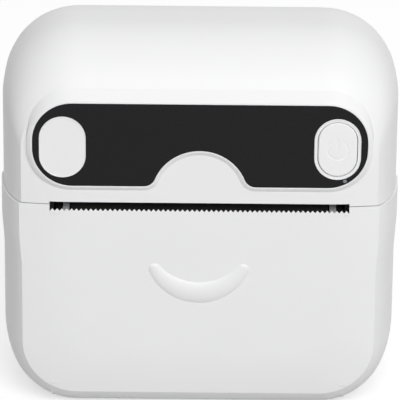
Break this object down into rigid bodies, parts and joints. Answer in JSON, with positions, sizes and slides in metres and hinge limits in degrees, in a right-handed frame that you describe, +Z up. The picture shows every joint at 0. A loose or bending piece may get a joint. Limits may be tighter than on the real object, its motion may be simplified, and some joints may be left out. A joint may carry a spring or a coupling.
{
  "type": "portable photo printer",
  "caption": "Palm-sized thermal printer: rounded white block with a black visor band, bottom-hinged front lid with a tear edge, rubber roller, print head and gear train.",
  "frame": {"origin": "centre of the flat base, on the surface the printer stands on", "axes": "+X to the viewer's right, +Y from the front face to the back, +Z up"},
  "size_m": [0.0838, 0.0422, 0.081],
  "materials": {
    "case_white": "fine satin",
    "visor_black": "fine matte grain",
    "button_white": "satin",
    "frame_black": "matt",
    "bush_grey": "satin",
    "roller_rubber": "matt",
    "steel": "turned",
    "gear_white": "satin",
    "heat_sink": "satin",
    "ceramic": "glazed",
    "brass": "machined",
    "motor_steel": "zinc plated",
    "screw_steel": "black oxide",
    "board_green": "solder resist",
    "chip_black": "moulded",
    "battery_foil": "foil pouch",
    "clear": "polished"
  },
  "bodies": {
    "case": {"rear_case": "case_white", "front_case": "case_white", "visor_panel": "visor_black", "chassis": "frame_black", "head_leaf": "steel", "head_pivot": "steel", "gear_pins": "steel", "stepper_motor": "motor_steel", "motor_screws": "screw_steel", "main_board": "board_green", "board_chips": "chip_black", "usb_socket": "steel", "battery": "battery_foil", "button_board": "board_green", "button_switch": "steel", "light_pipe": "clear", "paper_sensor": "chip_black", "case_screws": "screw_steel", "front_screws": "screw_steel"},
    "lid": {"lid": "case_white", "lid_carrier": "frame_black", "roller_bushes": "bush_grey", "hinge_pins": "steel"},
    "platen": {"platen_rubber": "roller_rubber", "platen_shaft": "steel", "platen_gear": "gear_white"},
    "head": {"print_head": "heat_sink", "head_ceramic": "ceramic"},
    "idler": {"idler_gear": "gear_white"},
    "cluster": {"cluster_gear": "gear_white"},
    "pinion": {"motor_pinion": "brass"},
    "button": {"power_button": "button_white"}
  },
  "joints": [
    {"name": "lid_hinge", "type": "hinge", "parent": "case", "child": "lid", "pos_m": [0, -0.015, 0.0056], "axis": [1, 0, 0], "range_deg": [0, 85]},
    {"name": "platen_spin", "type": "hinge", "parent": "lid", "child": "platen", "pos_m": [0, -0.0138, 0.0413], "axis": [1, 0, 0], "continuous": true},
    {"name": "head_tilt", "type": "hinge", "parent": "case", "child": "head", "pos_m": [0, -0.007, 0.0367], "axis": [1, 0, 0], "range_deg": [-2, 0], "stiffness_Nm_per_rad": 0.05, "springref_deg": 11.46},
    {"name": "idler_spin", "type": "hinge", "parent": "case", "child": "idler", "pos_m": [0.0332, -0.0028, 0.0413], "axis": [1, 0, 0], "continuous": true},
    {"name": "cluster_spin", "type": "hinge", "parent": "case", "child": "cluster", "pos_m": [0.0343, 0.00213, 0.05057], "axis": [1, 0, 0], "continuous": true},
    {"name": "pinion_spin", "type": "hinge", "parent": "case", "child": "pinion", "pos_m": [0.0355, 0.00813, 0.06096], "axis": [1, 0, 0], "continuous": true},
    {"name": "button_press", "type": "slide", "parent": "case", "child": "button", "axis": [0, 1, 0], "range_m": [0, 0.00035], "stiffness_N_per_m": 500, "springref_m": -0.001}
  ],
  "couplings": [
    {"joint": "idler_spin", "follows": "platen_spin", "ratio": -0.46667},
    {"joint": "cluster_spin", "follows": "platen_spin", "ratio": 1.1667},
    {"joint": "pinion_spin", "follows": "platen_spin", "ratio": -3.5}
  ]
}
